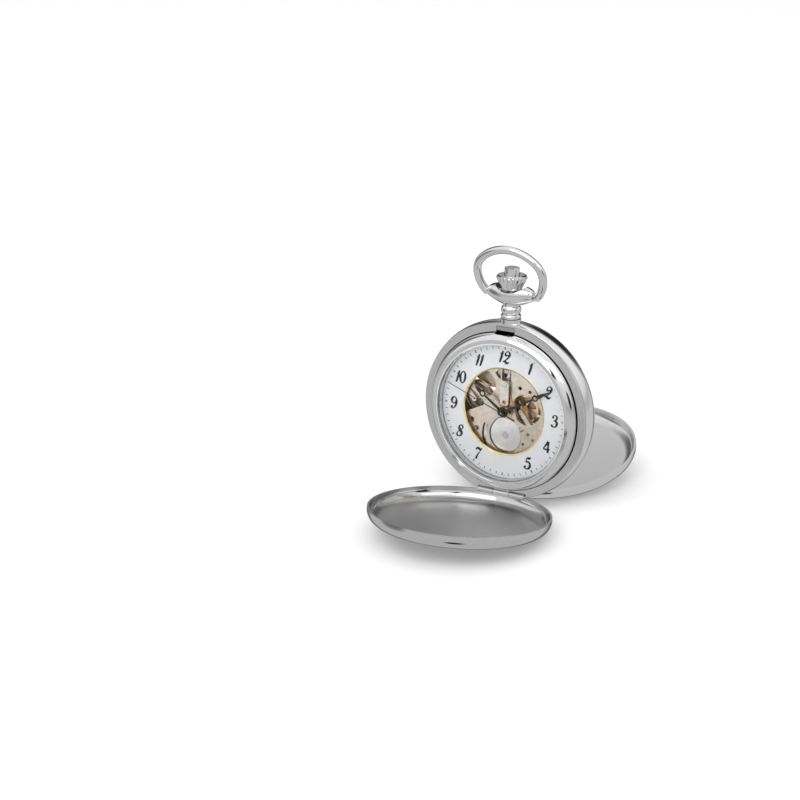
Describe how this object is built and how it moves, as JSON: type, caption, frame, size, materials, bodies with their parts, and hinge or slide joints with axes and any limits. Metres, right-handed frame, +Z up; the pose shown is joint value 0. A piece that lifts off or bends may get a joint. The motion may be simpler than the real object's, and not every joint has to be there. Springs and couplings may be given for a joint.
{
  "type": "pocket watch",
  "caption": "Double-hunter pocket watch standing open on its two hinged covers, with bow, crown, ring dial and a skeletonised mechanical movement.",
  "frame": {"origin": "on the surface it stands on, under the centre of the open watch's bounding box", "axes": "+Z up, -Y towards the dial side (the front cover opens towards -Y), +X towards 3 o'clock"},
  "size_m": [0.05, 0.1009, 0.0729],
  "materials": {
    "polished_steel": "polished",
    "steel": "fine brushed",
    "crystal_glass": "clear polished",
    "seal_rubber": "matte, pale",
    "dial_white": "silvery white, fine grain",
    "gilt_brass": "gilt, circular brushed",
    "black_lacquer": "gloss black",
    "champagne_plate": "rose nickel plating, fine grain",
    "nickel_barrel": "circular brushed",
    "ruby": "polished"
  },
  "bodies": {
    "case": {"case_middle": "polished_steel", "pendant": "polished_steel", "lock_spring": "steel", "lift_spring": "steel", "front_bezel": "polished_steel", "front_crystal": "crystal_glass", "front_gasket": "seal_rubber", "rear_bezel": "polished_steel", "rear_crystal": "crystal_glass", "rear_gasket": "seal_rubber", "front_hinge_pin": "steel", "rear_hinge_pin": "steel", "dial": "dial_white", "dial_aperture_ring": "gilt_brass", "minute_wheel_cock": "champagne_plate", "setting_lever": "steel", "yoke": "steel", "setting_spring": "steel", "movement_ring": "gilt_brass", "mainplate": "champagne_plate", "barrel_bridge": "champagne_plate", "train_bridge": "champagne_plate", "balance_cock": "champagne_plate", "pallet_bridge": "champagne_plate", "bridge_screws": "steel", "dial_side_screws": "steel", "case_screws": "steel", "crown_wheel_screw": "steel", "jewels": "ruby", "click": "steel", "click_spring": "steel", "hairspring": "steel"},
    "front_cover": {"front_cover": "polished_steel"},
    "rear_cover": {"rear_cover": "polished_steel"},
    "bow": {"bow": "polished_steel"},
    "pull_ring": {"pull_ring": "steel"},
    "crown": {"crown": "polished_steel", "winding_stem": "steel"},
    "release_button": {"release_button": "polished_steel"},
    "front_latch": {"front_latch": "steel"},
    "winding_pinions": {"winding_pinion": "steel", "sliding_pinion": "steel"},
    "crown_wheel": {"crown_wheel": "steel"},
    "transmission_wheel": {"transmission_wheel": "steel"},
    "ratchet": {"ratchet_wheel": "steel", "barrel_arbor": "steel"},
    "seconds": {"fourth_wheel": "gilt_brass", "seconds_hand": "black_lacquer"},
    "third_wheel": {"third_wheel": "gilt_brass"},
    "minutes": {"centre_wheel": "gilt_brass", "cannon_pinion": "steel", "minute_hand": "black_lacquer"},
    "minute_wheel": {"minute_wheel": "gilt_brass"},
    "hours": {"hour_wheel": "gilt_brass", "hour_hand": "black_lacquer"},
    "barrel": {"barrel": "nickel_barrel", "mainspring": "steel"},
    "escape_wheel": {"escape_wheel": "gilt_brass"},
    "pallet_fork": {"pallet_fork": "steel"},
    "balance": {"balance_wheel": "gilt_brass"}
  },
  "joints": [
    {"name": "front_cover_hinge", "type": "hinge", "parent": "case", "child": "front_cover", "pos_m": [0, -0.00286, 0.00369], "axis": [1, 0, 0], "range_deg": [-83.7, 0]},
    {"name": "rear_cover_hinge", "type": "hinge", "parent": "case", "child": "rear_cover", "pos_m": [0, 0.00333, 0.00355], "axis": [-1, 0, 0], "range_deg": [-77.6, 0]},
    {"name": "bow_swing", "type": "hinge", "parent": "case", "child": "bow", "pos_m": [0, 0.00152, 0.0594], "axis": [1, 0, 0], "range_deg": [-112, 88]},
    {"name": "crown_pull", "type": "slide", "parent": "case", "child": "pull_ring", "axis": [0, 0.023, 0.9997], "range_m": [0, 0.0008]},
    {"name": "crown_turn", "type": "hinge", "parent": "pull_ring", "child": "crown", "pos_m": [0, 0.00158, 0.062], "axis": [0, 0.023, 0.9997], "continuous": true},
    {"name": "button_press", "type": "slide", "parent": "crown", "child": "release_button", "axis": [0, -0.023, -0.9997], "range_m": [0, 0.0007], "stiffness_N_per_m": 300},
    {"name": "latch_slide", "type": "slide", "parent": "case", "child": "front_latch", "axis": [0, -0.023, -0.9997], "range_m": [0, 0.0007]},
    {"name": "winding_pinion_turn", "type": "hinge", "parent": "case", "child": "winding_pinions", "pos_m": [0, 0.001, 0.03701], "axis": [0, 0.023, 0.9997], "continuous": true},
    {"name": "crown_wheel_turn", "type": "hinge", "parent": "case", "child": "crown_wheel", "pos_m": [0, 0.00416, 0.03514], "axis": [0, 0.9997, -0.023], "continuous": true},
    {"name": "transmission_turn", "type": "hinge", "parent": "case", "child": "transmission_wheel", "pos_m": [0.00251, 0.00399, 0.02754], "axis": [0, 0.9997, -0.023], "continuous": true},
    {"name": "ratchet_turn", "type": "hinge", "parent": "case", "child": "ratchet", "pos_m": [0, 0.00381, 0.01984], "axis": [0, 0.9997, -0.023], "continuous": true},
    {"name": "seconds_turn", "type": "hinge", "parent": "case", "child": "seconds", "pos_m": [0, 0.00077, 0.02701], "axis": [0, 0.9997, -0.023], "continuous": true},
    {"name": "third_turn", "type": "hinge", "parent": "case", "child": "third_wheel", "pos_m": [0.00448, 0.00078, 0.0274], "axis": [0, 0.9997, -0.023], "continuous": true},
    {"name": "minutes_turn", "type": "hinge", "parent": "case", "child": "minutes", "pos_m": [0, 0.00077, 0.02701], "axis": [0, 0.9997, -0.023], "continuous": true},
    {"name": "minute_wheel_turn", "type": "hinge", "parent": "case", "child": "minute_wheel", "pos_m": [0, 0.00083, 0.02965], "axis": [0, 0.9997, -0.023], "continuous": true},
    {"name": "hours_turn", "type": "hinge", "parent": "case", "child": "hours", "pos_m": [0, 0.00077, 0.02701], "axis": [0, 0.9997, -0.023], "continuous": true},
    {"name": "barrel_turn", "type": "hinge", "parent": "case", "child": "barrel", "pos_m": [0, 0.00061, 0.01991], "axis": [0, 0.9997, -0.023], "continuous": true},
    {"name": "escape_turn", "type": "hinge", "parent": "case", "child": "escape_wheel", "pos_m": [-0.00381, 0.00082, 0.02921], "axis": [0, 0.9997, -0.023], "continuous": true},
    {"name": "fork_rock", "type": "hinge", "parent": "case", "child": "pallet_fork", "pos_m": [-0.00634, 0.00082, 0.02901], "axis": [0, 0.9997, -0.023], "range_deg": [-5, 5]},
    {"name": "balance_swing", "type": "hinge", "parent": "case", "child": "balance", "pos_m": [-0.00977, 0.00081, 0.02874], "axis": [0, 0.9997, -0.023], "range_deg": [-270, 270], "stiffness_Nm_per_rad": 0.00000025}
  ],
  "couplings": [
    {"joint": "latch_slide", "follows": "button_press", "ratio": 1},
    {"joint": "winding_pinion_turn", "follows": "crown_turn", "ratio": 1},
    {"joint": "crown_wheel_turn", "follows": "crown_turn", "ratio": -0.38889},
    {"joint": "transmission_turn", "follows": "crown_turn", "ratio": 0.31818},
    {"joint": "ratchet_turn", "follows": "crown_turn", "ratio": -0.37838},
    {"joint": "third_turn", "follows": "seconds_turn", "ratio": -0.13333},
    {"joint": "minutes_turn", "follows": "seconds_turn", "ratio": 0.016667},
    {"joint": "minute_wheel_turn", "follows": "seconds_turn", "ratio": -0.0055556},
    {"joint": "hours_turn", "follows": "seconds_turn", "ratio": 0.0013889},
    {"joint": "barrel_turn", "follows": "seconds_turn", "ratio": -0.0020833},
    {"joint": "escape_turn", "follows": "seconds_turn", "ratio": -10}
  ]
}
